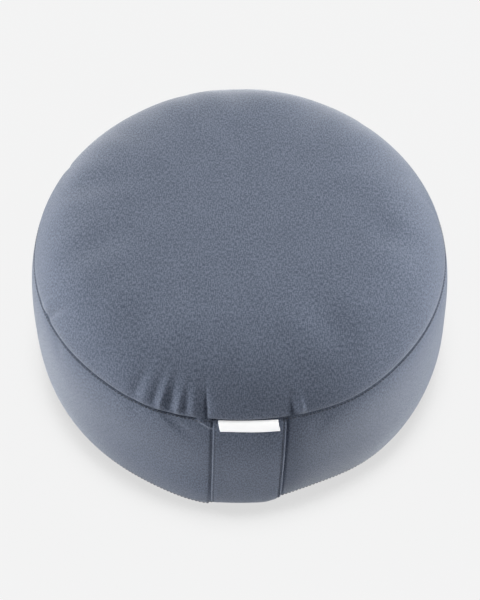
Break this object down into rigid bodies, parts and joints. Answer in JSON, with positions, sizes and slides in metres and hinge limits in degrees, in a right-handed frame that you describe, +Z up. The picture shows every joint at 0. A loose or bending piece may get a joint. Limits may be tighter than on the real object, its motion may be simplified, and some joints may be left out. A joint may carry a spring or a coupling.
{
  "type": "zafu meditation cushion",
  "caption": "Round, firmly filled floor cushion with a domed top panel, a deep side band, a carry strap down its front and a folded blank label.",
  "frame": {"origin": "centre of the flat that the cushion rests on", "axes": "+Z up through the crown; the carry strap is on the -Y side; +X is to the right of someone facing the strap"},
  "size_m": [0.32, 0.3238, 0.1674],
  "materials": {
    "cover_cloth": "matt plain-weave cotton, blue-grey",
    "strap_cloth": "the same cotton folded double and topstitched",
    "label_tape": "smooth woven tape, white, bare"
  },
  "bodies": {
    "root": {"cover": "cover_cloth", "carry_strap": "strap_cloth", "label": "label_tape"}
  },
  "joints": []
}
